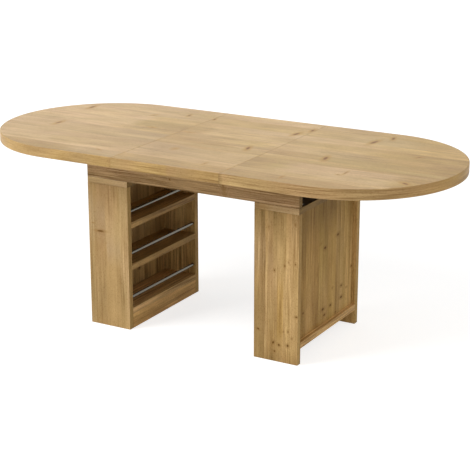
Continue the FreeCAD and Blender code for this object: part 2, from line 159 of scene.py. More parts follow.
def oak(
    name, lie, pale, deep, staves, seed=0.0, knots=(), figure=1.0, bands=1.0, lines=1.0, clouds=1.0,
    drifts=1.0, sheen=0.06, gloss=0.46, scar=(92, 59, 20), bruise=(142, 108, 62),
):
    """Knotty oak in two tones, with its staves laid by staves. A knot is (along, across, length, width,
    turn, faintness), in mm and degrees, with scar as its heart's colour and bruise as its halo's.
    Figure is the strength of the whole grain, and bands, lines, clouds and drifts are those of its
    parts. Sheen is how strongly the finish mirrors, and gloss its middle roughness."""
    made = bpy.data.materials.new(name)
    made.use_nodes = True
    tree = made.node_tree
    shader = tree.nodes["Principled BSDF"]
    shader.inputs["Specular IOR Level"].default_value = sheen
    place = node(tree, "TexCoord").outputs["UV" if lie == "strip" else "Object"]
    axes = node(tree, "SeparateXYZ", {0: place}).outputs
    along, across, through = [axes[axis] for axis in GRAIN_AXES[lie]]
    flat = node(tree, "CombineXYZ", {"X": along, "Y": across}).outputs[0]
    tint, shift = staves(tree, along, across, seed)
    solid = node(tree, "CombineXYZ", {"X": along, "Y": across, "Z": through}).outputs[0]
    grain = vector_maths(tree, "ADD", solid, shift)

    nearest = None
    for knot_along, knot_across, knot_length, knot_width, knot_turn, faintness in knots:
        settings = {
            "Vector": flat,
            "Location": (knot_along * MM, knot_across * MM, 0),
            "Rotation": (0, 0, math.radians(knot_turn)),
            "Scale": (knot_length * MM / 2, knot_width * MM / 2, 1),
        }
        local = node(tree, "Mapping", settings, vector_type="TEXTURE").outputs[0]
        away = node(tree, "VectorMath", {0: local}, operation="LENGTH").outputs["Value"]
        away = maths(tree, "ADD", away, faintness)
        nearest = away if nearest is None else maths(tree, "MINIMUM", nearest, away)
    if nearest is None:
        nearest = FAR_FROM_KNOTS

    # The grain's parts, from the widest drift of tone to the pores.
    drift = stretched_noise(tree, grain, 1.7, 14, 2, 0.5)
    cloud = stretched_noise(tree, grain, 6, 17, 3, 0.55)
    band = stretched_noise(tree, grain, 2.2, 62, 2, 0.5)
    streak = stretched_noise(tree, grain, 5, 210, 4, 0.6)
    fibre = stretched_noise(tree, grain, 45, 1300, 2, 0.6)
    pore = stretched_noise(tree, grain, 110, 900, 2, 0.5)
    warp = stretched_noise(tree, grain, 1.1, 6, 1, 0.4)
    calm = fit_range(tree, stretched_noise(tree, grain, 3, 9, 1, 0.4), 0.4, 0.62, 0.45, 1.3)
    swirl = fit_range(tree, nearest, 1.0, 5.0, 1.6, 0.0)
    rings = maths(tree, "MULTIPLY_ADD", warp, 9.0, maths(tree, "MULTIPLY", across, RINGS_PER_METRE))
    ring = maths(tree, "SINE", maths(tree, "MULTIPLY", maths(tree, "ADD", rings, swirl), 2 * math.pi))

    # The figure: how much paler or deeper than its middle tone the wood is at each place.
    line = maths(tree, "MULTIPLY", maths(tree, "SUBTRACT", band, 0.5), 0.45 * bands)
    line = maths(tree, "MULTIPLY_ADD", maths(tree, "SUBTRACT", streak, 0.5), 0.78 * lines, line)
    line = maths(tree, "MULTIPLY_ADD", ring, 0.025 * lines, line)
    value = maths(tree, "MULTIPLY", maths(tree, "SUBTRACT", drift, 0.5), 0.45 * drifts)
    value = maths(tree, "MULTIPLY_ADD", maths(tree, "SUBTRACT", cloud, 0.5), 0.4 * clouds, value)
    value = maths(tree, "MULTIPLY_ADD", line, calm, value)
    value = maths(tree, "MULTIPLY_ADD", value, figure, 0.5)
    value = maths(tree, "MULTIPLY_ADD", maths(tree, "SUBTRACT", fibre, 0.5), 0.2, value)
    value = maths(tree, "SUBTRACT", value, fit_range(tree, pore, 0.56, 0.72, 0.0, 0.3))

    # Its colours: the pale and the deep tone, the stave's tint, a drift of hue, and the knots on top.
    reddish = (1.01, 0.991, 0.975, 1)
    greenish = (0.993, 1.0, 0.918, 1)
    ramp = two_tones(tree, value, 0.28, deep, 0.72, pale)
    toned = mixed(tree, 1.0, ramp, tint, "MULTIPLY")
    turning = fit_range(tree, stretched_noise(tree, solid, 2.3, 13, 2, 0.5), 0.35, 0.65, 0.0, 1.0)
    toned = mixed(tree, 1.0, toned, mixed(tree, turning, reddish, greenish), "MULTIPLY")
    halo = fit_range(tree, nearest, 0.9, 2.9, 0.55, 0.0)
    toned = mixed(tree, halo, toned, painted(*bruise))
    heart = fit_range(tree, nearest, 0.35, 1.2, 0.92, 0.0)
    toned = mixed(tree, heart, toned, painted(*scar))
    rough = maths(tree, "MULTIPLY_ADD", streak, 0.22, gloss - 0.11)
    height = maths(tree, "MULTIPLY_ADD", fibre, 0.5, maths(tree, "MULTIPLY", streak, 0.5))
    bump = node(tree, "Bump", {"Strength": 0.25, "Distance": 0.3 * MM, "Height": height})
    finish(tree, toned, rough, bump)
    return made


def sawn(low, high):
    """A square-cut board between two opposite corners."""
    shape = bmesh.new()
    bmesh.ops.create_cube(shape, size=1.0)
    bmesh.ops.scale(shape, vec=high - low, verts=shape.verts)
    bmesh.ops.translate(shape, vec=(low + high) / 2, verts=shape.verts)
    return shape


def ease(shape, edges, width, steps=2):
    """Eases edges over. The flats beside them stay flat, because the shading stops at the bevel."""
    eased = bmesh.ops.bevel(
        shape, geom=edges, offset=width, segments=steps, profile=0.5, affect="EDGES", material=-1
    )
    eased_faces = set(eased["faces"])
    for edge in shape.edges:
        if len(eased_faces.intersection(edge.link_faces)) == 1:
            edge.smooth = False


def piece(name, shape, body, slot, material, *stands_for):
    """Turns a shape into a piece of the table that rides on body and stands for some CAD nodes."""
    for edge in shape.edges:
        if edge.calc_face_angle(0.0) > CREASE:
            edge.smooth = False
    mesh = bpy.data.meshes.new(name)
    shape.to_mesh(mesh)
    shape.free()
    mesh.materials.append(material)
    mesh.polygons.foreach_set("use_smooth", [True] * len(mesh.polygons))
    made = bpy.data.objects.new(name, mesh)
    bpy.context.scene.collection.objects.link(made)
    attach(made, body)
    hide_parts(*stands_for)
    return made


def plain_board(cad_part, slot, material, body="base", arris=ARRIS):
    """A board as large as its CAD part, with all its arrises eased."""
    low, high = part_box(cad_part)
    shape = sawn(low, high)
    ease(shape, shape.edges[:], arris)
    return piece(cad_part + "_oak", shape, body, slot, material, cad_part)


UPRIGHT_REACH = 700 * MM
# Staves of the board's full length are laid as longer, in metres, than any board.
FULL_LENGTH = 60.0
STAVE_TINTS = {
    "snowy_and_sheen": (1.18, 1.18, 1.28),
    "bright": (1.09, 1.08, 1.05),
    "milky_and_sheen": (1.07, 1.07, 1.16),
    "pale": (1.0, 0.99, 0.97),
    "cool": (0.97, 0.96, 1.0),
    "honey": (0.97, 0.95, 0.83),
    "golden": (1.0, 0.96, 0.76),
    "misty": (0.94, 0.94, 1.02),
    "plain": (0.91, 0.90, 0.86),
    "rosy": (0.93, 0.89, 0.87),
    "silver": (0.89, 0.88, 0.90),
    "ashen": (0.82, 0.81, 0.84),
    "olive": (0.84, 0.83, 0.70),
    "brown": (0.83, 0.78, 0.69),
    "amber": (0.90, 0.85, 0.66),
    "tawny": (0.78, 0.72, 0.55),
    "dusky": (0.73, 0.69, 0.62),
    "shady": (0.63, 0.60, 0.52),
}


def tone_along(tree, along, reach, tones):
    """The tints of one row of staves, which melt into each other along the grain. A tone is (place in
    mm, tint), and no place is further out than reach."""
    share = maths(tree, "MULTIPLY_ADD", along, 0.5 / reach, 0.5)
    ramp = node(tree, "ValToRGB", {0: share})
    stops = ramp.color_ramp.elements
    while len(stops) < len(tones):
        stops.new(0.5)
    for stop, (place, tint) in zip(stops, tones):
        stop.position = place * MM * 0.5 / reach + 0.5
    for stop, (place, tint) in zip(stops, tones):
        stop.color = STAVE_TINTS[tint] + (1.0,)
    return ramp.outputs[0]


# The chosen tints were corrected to match measured brightness, so besides the wood's tone they carry painted
# light and shade.
def chosen_staves(rows, reach, saw_cuts=(), soft=4 * MM, sway=30 * MM):
    """Rows of staves as listed, with soft glue lines that sway along the grain. A row is (place
    of its first edge in mm, tones). The tints on the faces that the photograph shows were chosen from
    STAVE_TINTS, and then corrected against its mean colours, measured over a grid of patches. The grain
    starts anew in each row and past each saw cut."""
    row_jump = 2.37
    cut_jump = 5.13

    def lay(tree, along, across, seed):
        wander = node(tree, "CombineXYZ", {"X": along, "Y": across}).outputs[0]
        wander = stretched_noise(tree, wander, 2.5, 5, 2, 0.5)
        edge = maths(tree, "MULTIPLY_ADD", wander, sway, maths(tree, "SUBTRACT", across, sway / 2))
        tint = tone_along(tree, along, reach, rows[0][1])
        shift = seed
        for start, tones in rows[1:]:
            over = fit_range(tree, edge, start * MM - soft, start * MM + soft, 0.0, 1.0)
            tint = mixed(tree, over, tint, tone_along(tree, along, reach, tones))
            past = maths(tree, "GREATER_THAN", across, start * MM)
            shift = maths(tree, "MULTIPLY_ADD", past, row_jump, shift)
        for cut in saw_cuts:
            past = maths(tree, "GREATER_THAN", along, cut * MM)
            shift = maths(tree, "MULTIPLY_ADD", past, cut_jump, shift)
        return tint, node(tree, "CombineXYZ", {"X": shift, "Y": shift, "Z": shift}).outputs[0]

    return lay


LEFT_FRONT_STAVES = (
    (-478, ((0, "dusky"), (130, "shady"), (330, "dusky"), (430, "ashen"), (520, "ashen"), (600, "brown"))),
    (-452, ((0, "brown"), (120, "dusky"), (330, "brown"), (470, "ashen"), (560, "brown"))),
    (-396, ((0, "brown"), (250, "brown"), (330, "ashen"), (400, "plain"), (560, "brown"))),
    (-330, ((0, "honey"), (150, "plain"), (270, "pale"), (400, "pale"), (480, "plain"), (580, "plain"))),
)
LEFT_FRONT_KNOTS = (
    (402, -422, 8, 36, -3, 0.0), (432, -458, 6, 14, 0, 0.7),
)
left_front_oak = oak(
    "oak_left_front", "front_z", (213, 183, 139), (138, 109, 69),
    chosen_staves(LEFT_FRONT_STAVES, UPRIGHT_REACH), seed=3.0, knots=LEFT_FRONT_KNOTS,
    figure=0.65, bands=0.8, lines=0.9,
)
# Its staves darken at their feet and, in most rows, at their upper ends: painted shade by the floor and under
# the tabletop. The first row is darker all the way up.
RIGHT_FRONT_STAVES = (
    (288, ((0, "shady"), (250, "shady"), (340, "dusky"), (400, "ashen"), (480, "ashen"), (580, "shady"))),
    (335, ((0, "dusky"), (60, "plain"), (300, "pale"), (600, "brown"))),
    (345, (
        (0, "shady"), (60, "brown"), (200, "plain"), (330, "rosy"), (400, "silver"), (520, "rosy"),
        (600, "shady"),
    )),
    (370, ((0, "shady"), (60, "brown"), (300, "plain"), (430, "plain"), (600, "shady"))),
    (387, ((0, "dusky"), (80, "honey"), (130, "golden"), (290, "golden"), (380, "pale"), (600, "dusky"))),
    (414, ((0, "brown"), (60, "bright"), (300, "bright"), (600, "plain"))),
    (424, ((0, "brown"), (60, "bright"), (400, "bright"), (600, "brown"))),
    (448, ((0, "brown"), (60, "bright"), (430, "bright"), (600, "plain"))),
)
RIGHT_FRONT_KNOTS = (
    (369, 376, 11, 8, 0, 0.25), (393, 420, 11, 8, 0, 0.3), (409, 436, 9, 6, 0, 0.6),
    (406, 465, 9, 6, 0, 0.2), (128, 417, 7, 7, 0, 0.6), (131, 437, 10, 7, 0, 0.25),
    (76, 373, 14, 9, 25, 0.0), (70, 398, 11, 9, -30, 0.0), (74, 436, 11, 10, 0, 0.0),
    (41, 379, 9, 8, 0, 0.1), (120, 307, 8, 11, 20, 0.0), (197, 471, 8, 11, 0, 0.1),
    (107, 453, 12, 9, 0, 0.7), (561, 463, 12, 8, 0, 0.6), (536, 350, 22, 8, 0, 0.7),
)
right_front_oak = oak(
    "oak_right_front", "front_z", (216, 183, 133), (137, 107, 64),
    chosen_staves(RIGHT_FRONT_STAVES, UPRIGHT_REACH, soft=3 * MM, sway=16 * MM), seed=5.0,
    knots=RIGHT_FRONT_KNOTS, figure=0.8, bands=0.9, lines=1.0,
)
BACK_KNOTS = (
    (180, -420, 12, 9, 0, 0.1), (455, -350, 10, 8, 0, 0.3), (330, 340, 12, 10, 0, 0.1),
    (90, 430, 9, 8, 0, 0.3),
)
back_oak = oak(
    "oak_backs", "front_z", (223, 187, 129), (141, 108, 61), chance_staves(0.05, FULL_LENGTH, 0.05),
    seed=8.0, knots=BACK_KNOTS,
)
upright_edge_oak = oak(
    "oak_upright_edges", "side_z", (198, 166, 108), (127, 97, 53), chance_staves(0.05, FULL_LENGTH, 0.03),
    seed=9.0, figure=0.7,
)


def finish_faces(board, material, *directions):
    """Gives the faces of a board that look in one of the directions a finish of their own."""
    board.data.materials.append(material)
    for face in board.data.polygons:
        if any(face.normal.dot(direction) > 0.9 for direction in directions):
            face.material_index = len(board.data.materials) - 1


LEFTWARDS = Vector((-1, 0, 0))
RIGHTWARDS = Vector((1, 0, 0))
DEEPER_EDGED_BOARDS = {
    "left_front_panel": left_front_oak,
    "right_front_panel": right_front_oak,
    "right_back_panel": back_oak,
}
for board, board_oak in DEEPER_EDGED_BOARDS.items():
    upright = plain_board(board, "oak_upright", board_oak)
    finish_faces(upright, upright_edge_oak, LEFTWARDS, RIGHTWARDS)
plain_board("left_back_panel", "oak_upright", back_oak)


# Recessed side panels. Each is a thinner board that closes one side of its pedestal, set back from the
# edges of the front and back boards and held in grooves in them. It is the same knotty oak, in
# wider upright staves of light and darker wood. On the right panel the staves' upper ends are darker,
# painted shade under the tabletop, and the back staves are paler, partly their tone and partly painted light.
RIGHT_SIDE_STAVES = (
    (-251, ((0, "rosy"), (440, "plain"), (580, "shady"))),
    (-215, ((0, "dusky"), (160, "dusky"), (300, "brown"), (440, "dusky"), (570, "shady"))),
    (-172, ((0, "brown"), (200, "rosy"), (440, "brown"), (560, "shady"))),
    (-118, ((0, "rosy"), (430, "brown"), (550, "shady"))),
    (-102, ((0, "brown"), (430, "brown"), (550, "shady"))),
    (-58, ((0, "brown"), (250, "plain"), (400, "olive"), (550, "shady"))),
    (15, ((0, "olive"), (150, "honey"), (430, "honey"), (550, "shady"))),
    (88, ((0, "plain"), (450, "plain"), (550, "dusky"))),
    (128, ((0, "plain"), (420, "plain"), (550, "brown"))),
    (162, ((0, "bright"), (420, "bright"), (550, "olive"))),
    (182, ((0, "bright"), (420, "bright"), (550, "brown"))),
    (208, ((0, "bright"), (400, "pale"), (560, "brown"))),
)
RIGHT_SIDE_KNOTS = (
    (399, -10, 12, 22, 0, 0.0), (423, 103, 13, 24, 0, 0.2), (147, -22, 12, 24, 0, 0.0),
    (119, -7, 10, 20, 0, 0.0), (143, 46, 11, 18, 0, 0.0), (197, 144, 10, 20, 0, 0.2),
    (147, 145, 11, 22, 0, 0.0), (186, -193, 9, 17, 0, 0.1), (119, -204, 8, 14, 0, 0.6),
    (253, 236, 9, 18, 0, 0.2), (99, 96, 8, 14, 0, 0.3), (211, 62, 10, 12, 0, 0.6),
    (307, -78, 24, 8, 0, 0.7), (425, -46, 10, 16, 0, 0.7), (175, 192, 8, 14, 0, 0.6),
)
right_side_oak = oak(
    "oak_right_side", "side_z", (211, 177, 120), (134, 103, 56),
    chosen_staves(RIGHT_SIDE_STAVES, UPRIGHT_REACH, soft=4 * MM, sway=20 * MM), seed=11.0,
    knots=RIGHT_SIDE_KNOTS, figure=0.8, lines=0.9, sheen=0.03,
)
LEFT_SIDE_KNOTS = (
    (420, 60, 10, 14, 0, 0.1), (250, -150, 9, 14, 0, 0.3), (150, 40, 9, 16, 0, 0.1),
    (170, -60, 8, 12, 0, 0.3),
)
left_side_oak = oak(
    "oak_left_side", "side_z", (209, 176, 123), (132, 101, 58), chance_staves(0.062, FULL_LENGTH, 0.07),
    seed=14.0, knots=LEFT_SIDE_KNOTS, sheen=0.03,
)
plain_board("right_side_panel", "oak_upright", right_side_oak)
plain_board("left_side_panel", "oak_upright", left_side_oak)


# Shelves and plinths. Three level oak boards fill each pedestal, and the bottom one stands on a plinth
# board that closes the foot of the open side. The shelves are bored from below for their cam locks.
shelf_oak = oak(
    "oak_shelves", "flat_y", (201, 165, 111), (125, 94, 53), chance_staves(0.06, FULL_LENGTH, 0.05),
    seed=17.0,
)
# The bottom shelves and the plinths are paler than the shelves above: painted light from the floor's bounce,
# low down.
bottom_oak = oak(
    "oak_bottom_shelves", "flat_y", (228, 190, 136), (143, 109, 65), chance_staves(0.06, FULL_LENGTH, 0.05),
    seed=18.0,
)
plinth_oak = oak(
    "oak_plinths", "side_y", (243, 203, 141), (155, 118, 68), chance_staves(0.07, FULL_LENGTH, 0.04),
    seed=19.0, lines=0.6,
)


def dress(material, *cad_parts):
    """Gives CAD parts whose shape is right their real finish."""
    for cad_part in cad_parts:
        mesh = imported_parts[cad_part].data
        if not mesh.materials:
            mesh.materials.append(material)
        for number in range(len(mesh.materials)):
            mesh.materials[number] = material


for side in ("left", "right"):
    dress(bottom_oak, side + "_bottom_shelf")
    dress(shelf_oak, side + "_middle_shelf", side + "_upper_shelf")
    plain_board(side + "_plinth", "oak_level", plinth_oak)


# Rails across the open side of each compartment. Each is a drawn steel rod, chromed and bright, with its
# ends let into blind holes in the front and back boards.
def metal(name, tone, rough, ripples):
    """Bare metal with a polish that is slightly uneven, and so many fine ripples to the metre."""
    made = bpy.data.materials.new(name)
    made.use_nodes = True
    tree = made.node_tree
    tree.nodes["Principled BSDF"].inputs["Metallic"].default_value = 1.0
    place = node(tree, "TexCoord").outputs["Object"]
    ripple = node(tree, "TexNoise", {"Vector": place, "Scale": ripples, "Detail": 3.0}).outputs[0]
    clouds = node(tree, "TexNoise", {"Vector": place, "Scale": 35.0, "Detail": 2.0}).outputs[0]
    darker = [int(value * 0.86) for value in tone]
    colour = mixed(tree, clouds, painted(*darker), painted(*tone))
    polish = maths(tree, "MULTIPLY_ADD", clouds, 0.12, rough - 0.06)
    bump = node(tree, "Bump", {"Strength": 0.08, "Distance": 0.1 * MM, "Height": ripple})
    finish(tree, colour, polish, bump)
    return made


chrome = metal("smoked_chrome", (118, 114, 104), rough=0.16, ripples=300.0)
ROD_SIDES = 40
ROD_EASE = 0.6 * MM

for side in ("left", "right"):
    for level in ("lower", "middle", "upper"):
        cad_part = side + "_" + level + "_rod"
        low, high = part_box(cad_part)
        middle = (low + high) / 2
        radius = (high.z - low.z) / 2
        rod = bmesh.new()
        bmesh.ops.create_cone(
            rod, cap_ends=True, segments=ROD_SIDES, radius1=radius, radius2=radius, depth=high.y - low.y
        )
        ease(rod, [edge for edge in rod.edges if edge.calc_face_angle() > CREASE], ROD_EASE)
        for vertex in rod.verts:
            vertex.co = Vector((vertex.co.x, vertex.co.z, -vertex.co.y)) + middle
        bmesh.ops.recalc_face_normals(rod, faces=rod.faces)
        piece(cad_part + "_chrome", rod, "base", "rod_metal", chrome, cad_part)


# Capping boards. One lies across the top of each pedestal on its front, back and side boards, and its
# front edge shows as a strip under the apron. The pedestal is open above it, under the top.
HALF_TABLE = 1000 * MM
SHORT_STAVE = 900 * MM
LEVEL_PALE = (208, 173, 124)
LEVEL_DEEP = (130, 99, 59)
WORN_ARRIS = 1.4 * MM
CAPPING_EDGE = ((0, (
    (-478, "plain"), (-288, "cool"), (288, "dusky"), (330, "brown"), (370, "silver"), (478, "cool"),
)),)
capping_oak = oak(
    "oak_capping", "flat_y", LEVEL_PALE, LEVEL_DEEP, chance_staves(0.06, SHORT_STAVE, 0.05), seed=23.0,
)
capping_edge_oak = oak(
    "oak_capping_edges", "front_x", (226, 197, 150), (152, 121, 80), chosen_staves(CAPPING_EDGE, HALF_TABLE),
    seed=24.0, figure=0.6,
)
# The end faces of the capping boards, and of the aprons, get this darker oak: painted shade under the
# tabletop.
shaded_ends_oak = oak(
    "oak_ends_painted_shade", "side_y", (157, 130, 80), (99, 75, 38), chance_staves(0.06, SHORT_STAVE, 0.05),
    seed=25.0,
)
# The capping boards' top faces lie in the hollow under the tabletop, and their dark brown is painted shade
# there.
hollow_shade_oak = oak(
    "oak_hollow_painted_shade", "flat_y", (70, 53, 34), (38, 27, 17), chance_staves(0.06, SHORT_STAVE, 0.08), seed=26.0,
)

FORWARDS = Vector((0, -1, 0))
BACKWARDS = Vector((0, 1, 0))
UPWARDS = Vector((0, 0, 1))
for side in ("left", "right"):
    capping = plain_board(side + "_capping_board", "oak_level", capping_oak, arris=WORN_ARRIS)
    finish_faces(capping, capping_edge_oak, FORWARDS, BACKWARDS)
    finish_faces(capping, shaded_ends_oak, LEFTWARDS, RIGHTWARDS)
    finish_faces(capping, hollow_shade_oak, UPWARDS)


# Shelf fittings and dowels. Cam locks in the shelves pull on bolts in the upright boards, and beech dowels
# place the plinths, the aprons and the tie.
zinc = metal("cast_zinc", (176, 178, 180), rough=0.38, ripples=700.0)


def beech(name):
    """Plain pale beech with its small flecks."""
    made = bpy.data.materials.new(name)
    made.use_nodes = True
    tree = made.node_tree
    place = node(tree, "TexCoord").outputs["Object"]
    flecks = stretched_noise(tree, place, 220, 900, 3, 0.6)
    colour = two_tones(tree, flecks, 0.35, (178, 140, 98), 0.65, (214, 181, 138))
    rough = maths(tree, "MULTIPLY_ADD", flecks, 0.2, 0.5)
    bump = node(tree, "Bump", {"Strength": 0.2, "Distance": 0.2 * MM, "Height": flecks})
    finish(tree, colour, rough, bump)
    return made


dowel_beech = beech("beech_dowels")
for side in ("left", "right"):
    dress(zinc, side + "_cam_locks", side + "_cam_bolts")
dress(dowel_beech, "plinth_dowels", "frame_dowels", "tie_dowels")


# Aprons. Two long boards on edge join the pedestals under the top, flush with the front and back boards,
# with their grain along the table. Steel brackets inside hold them down on the capping boards.
# The first mark is a tall dark slanted streak at 149 mm along each apron, and the others are knots.
APRON_MARKS = (
    (149, 682, 13, 96, 13, 0.5), (-87, 662, 6, 7, 0, 0.0), (380, 690, 26, 10, 0, 0.7),
)
apron_oak = oak(
    "oak_aprons", "front_x", (201, 168, 126), (125, 96, 61), chance_staves(0.05, FULL_LENGTH, 0.03),
    seed=29.0, knots=APRON_MARKS, figure=0.8, bands=0.7, lines=3.0, clouds=0.7, drifts=0.5,
)
for side in ("front", "back"):
    apron = plain_board(side + "_apron", "oak_level", apron_oak, arris=WORN_ARRIS)
    # Its end faces take the darker oak of painted shade under the tabletop.
    finish_faces(apron, shaded_ends_oak, LEFTWARDS, RIGHTWARDS)
dress(zinc, "frame_brackets", "bracket_screws")


# Centre tie and bearers. The tie keeps the aprons apart at mid length, and the bearers along their feet
# carry the leaf when it is stored inside the frame. They are screwed on from below.
tie_oak = oak(
    "oak_tie", "flat_y", LEVEL_PALE, LEVEL_DEEP, chance_staves(0.045, SHORT_STAVE, 0.05), seed=31.0,
)
dress(tie_oak, "centre_tie")
dress(apron_oak, "front_leaf_bearers", "back_leaf_bearers")
dress(zinc, "bearer_screws")


# Slides of the half-tops. Steel channels are screwed to the aprons, and aluminium runners under each
# half-top slide in them between stop pins.
channel_steel = metal("zinc_plated_steel", (196, 199, 203), rough=0.3, ripples=500.0)
runner_aluminium = metal("drawn_aluminium", (205, 206, 208), rough=0.34, ripples=600.0)
dress(channel_steel, "front_channel", "back_channel", "channel_screws", "stop_pins")
for side in ("left", "right"):
    dress(runner_aluminium, side + "_front_runner", side + "_back_runner")
    dress(zinc, side + "_seam_plates", side + "_top_screws")


# Half-tops. Each is a thick D-shaped oak board, wide staves running along the table, sawn round a half
# ellipse at its free end. A thin edge band goes round the curve and another closes the sawn seam side.
END_REACH = 430 * MM
BAND = 3 * MM
RIM_STATIONS = 144
NEAR = 0.01 * MM
# The bluish pale tints toward the back and the left end of the top are partly the staves' tone and partly
# painted sheen.
TOP_STAVES = (
    (-450, (
        (-900, "dusky"), (-500, "dusky"), (-420, "ashen"), (-239, "ashen"), (-237, "brown"), (-150, "dusky"),
        (20, "dusky"), (120, "brown"), (237, "brown"), (239, "dusky"), (560, "brown"),
    )),
    (-360, (
        (-900, "misty"), (-239, "cool"), (-237, "silver"), (237, "pale"), (239, "plain"), (500, "pale"),
    )),
    (-318, (
        (-875, "misty"), (-660, "misty"), (-600, "silver"), (-237, "silver"), (-150, "ashen"), (20, "silver"),
        (110, "cool"), (237, "cool"), (239, "dusky"), (310, "brown"), (370, "olive"), (440, "cool"),
        (800, "cool"), (880, "tawny"),
    )),
    (-160, (
        (-900, "ashen"), (-250, "ashen"), (0, "brown"), (237, "plain"), (239, "brown"), (600, "brown"),
    )),
    (-137, (
        (-860, "silver"), (-500, "silver"), (-239, "ashen"), (-237, "brown"), (0, "brown"), (237, "rosy"),
        (239, "brown"), (531, "olive"), (900, "tawny"),
    )),
    (-120, (
        (-860, "misty"), (-250, "silver"), (-237, "rosy"), (0, "plain"), (150, "pale"), (560, "honey"),
        (700, "olive"),
    )),
    (-89, (
        (-860, "misty"), (-500, "silver"), (-400, "ashen"), (-240, "ashen"), (-230, "brown"), (20, "brown"),
        (130, "plain"), (200, "plain"), (300, "brown"), (531, "olive"), (900, "tawny"),
    )),
    (-19, (
        (-860, "misty"), (-600, "milky_and_sheen"), (-500, "pale"), (-440, "plain"), (-240, "brown"), (-125, "plain"),
        (160, "honey"), (234, "pale"), (360, "pale"), (420, "plain"), (560, "plain"), (760, "amber"),
        (940, "tawny"),
    )),
    (59, (
        (-860, "milky_and_sheen"), (-520, "milky_and_sheen"), (-460, "olive"), (-160, "brown"), (-110, "pale"), (237, "pale"),
        (420, "honey"), (560, "honey"), (660, "amber"), (880, "tawny"),
    )),
    (169, (
        (-860, "milky_and_sheen"), (-670, "snowy_and_sheen"), (-500, "milky_and_sheen"), (-440, "honey"), (-240, "honey"), (-125, "bright"),
        (10, "milky_and_sheen"), (300, "milky_and_sheen"), (560, "bright"), (760, "golden"),
    )),
    (240, (
        (-860, "milky_and_sheen"), (-500, "milky_and_sheen"), (-300, "plain"), (-150, "honey"), (240, "honey"), (500, "plain"),
        (640, "plain"), (800, "amber"),
    )),
    (358, (
        (-700, "milky_and_sheen"), (-480, "milky_and_sheen"), (-400, "cool"), (-300, "pale"), (-160, "snowy_and_sheen"), (170, "snowy_and_sheen"),
        (300, "pale"), (700, "amber"),
    )),
)
TOP_KNOTS = (
    (-826, 264, 52, 15, 92, 0.0), (-364, 330, 34, 11, 100, 0.1), (-230, 316, 34, 10, 104, 0.1),
    (226, 334, 48, 13, 96, 0.1), (196, 246, 52, 17, 84, 0.0), (572, 366, 40, 14, 104, 0.0),
    (530, 272, 62, 18, 84, 0.0), (-770, -58, 52, 16, 90, 0.1), (144, -62, 50, 16, 104, 0.0),
    (477, -56, 56, 17, 102, 0.0), (884, -246, 34, 15, 150, 0.0), (636, -216, 50, 7, 92, 0.3),
    (780, 130, 34, 11, 60, 0.3), (-500, 260, 30, 14, 60, 0.4), (120, -350, 30, 10, 90, 0.5),
    (460, -380, 34, 10, 90, 0.5), (622, -250, 14, 10, 0, 0.3), (-350, -365, 10, 24, 70, 0.5),
    (-380, 60, 14, 34, 90, 0.6), (-200, 60, 14, 40, 90, 0.6), (-100, -210, 40, 26, 90, 0.8),
)
SAW_CUTS = (-238, 238)
top_oak = oak(
    "oak_top", "flat_x", (235, 204, 154), (160, 127, 80), chosen_staves(TOP_STAVES, HALF_TABLE, SAW_CUTS),
    seed=1.0, knots=TOP_KNOTS, figure=0.65, bands=0.4, lines=0.95, clouds=1.15, drifts=0.4, sheen=0.2,
    gloss=0.42, scar=(120, 74, 8), bruise=(178, 132, 50),
)


def corners_of(extruded):
    """The corners that an extrusion has made."""
    return [part for part in extruded["geom"] if isinstance(part, bmesh.types.BMVert)]


for side, way in (("left", -1), ("right", 1)):
    low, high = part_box(side + "_rim_band")
    core_low, core_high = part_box(side + "_half_top")
    seam_x = min(abs(core_low.x), abs(core_high.x))
    centre = max(abs(low.x), abs(high.x)) - END_REACH
    half_top = bmesh.new()
    bmesh.ops.create_circle(half_top, cap_ends=True, segments=2 * RIM_STATIONS, radius=1.0)
    bmesh.ops.scale(half_top, vec=(END_REACH - BAND, high.y - BAND, 1), verts=half_top.verts)
    bmesh.ops.translate(half_top, vec=(centre, 0, high.z), verts=half_top.verts)
    bmesh.ops.bisect_plane(
        half_top, geom=half_top.verts[:] + half_top.edges[:] + half_top.faces[:], dist=NEAR,
        plane_co=(centre, 0, 0), plane_no=(1, 0, 0), clear_inner=True,
    )
    chord = [edge for edge in half_top.edges if all(abs(v.co.x - centre) < NEAR for v in edge.verts)]
    straight = bmesh.ops.extrude_edge_only(half_top, edges=chord)
    bmesh.ops.translate(half_top, vec=(seam_x - centre, 0, 0), verts=corners_of(straight))
    underside = bmesh.ops.extrude_face_region(half_top, geom=half_top.faces[:])
    bmesh.ops.translate(half_top, vec=(0, 0, low.z - high.z), verts=corners_of(underside))
    bmesh.ops.scale(half_top, vec=(way, 1, 1), verts=half_top.verts)
    bmesh.ops.recalc_face_normals(half_top, faces=half_top.faces)
    piece(side + "_half_top_oak", half_top, side + "_top", "oak_top", top_oak, side + "_half_top")


# Edge bands of the half-tops. A long oak strip is bent round each curved rim and glued on, and its two
# outer edges are rounded over. A thinner strip closes the seam side.
RIM_ROUND = 2.5 * MM
ROUND_STEPS = 4
SEAM_EASE = {"left": 0.35 * MM, "right": 0.1 * MM}
RIM_REACH = 2200 * MM
LEFT_RIM = ((0, (
    (0, "brown"), (5, "honey"), (60, "honey"), (150, "plain"), (230, "honey"), (330, "plain"), (520, "honey"),
    (900, "plain"), (1500, "brown"),
)),)
# The right rim starts at its front seam with three millimetres of the darkest tint, painted shade of the seam
# gap.
RIGHT_RIM = ((0, (
    (0, "shady"), (3, "shady"), (4, "rosy"), (60, "plain"), (170, "plain"), (300, "rosy"), (420, "rosy"),
    (560, "plain"), (760, "brown"), (1000, "amber"), (1600, "rosy"),
)),)


def strip_oak(name, lie, staves, seed):
    """The oak of the rounded bands: a straight-grained strip with a faint shine."""
    return oak(
        name, lie, (207, 175, 127), (133, 103, 63), staves, seed, figure=0.7, bands=0.5, lines=1.5,
        drifts=0.7, sheen=0.12, gloss=0.44,
    )


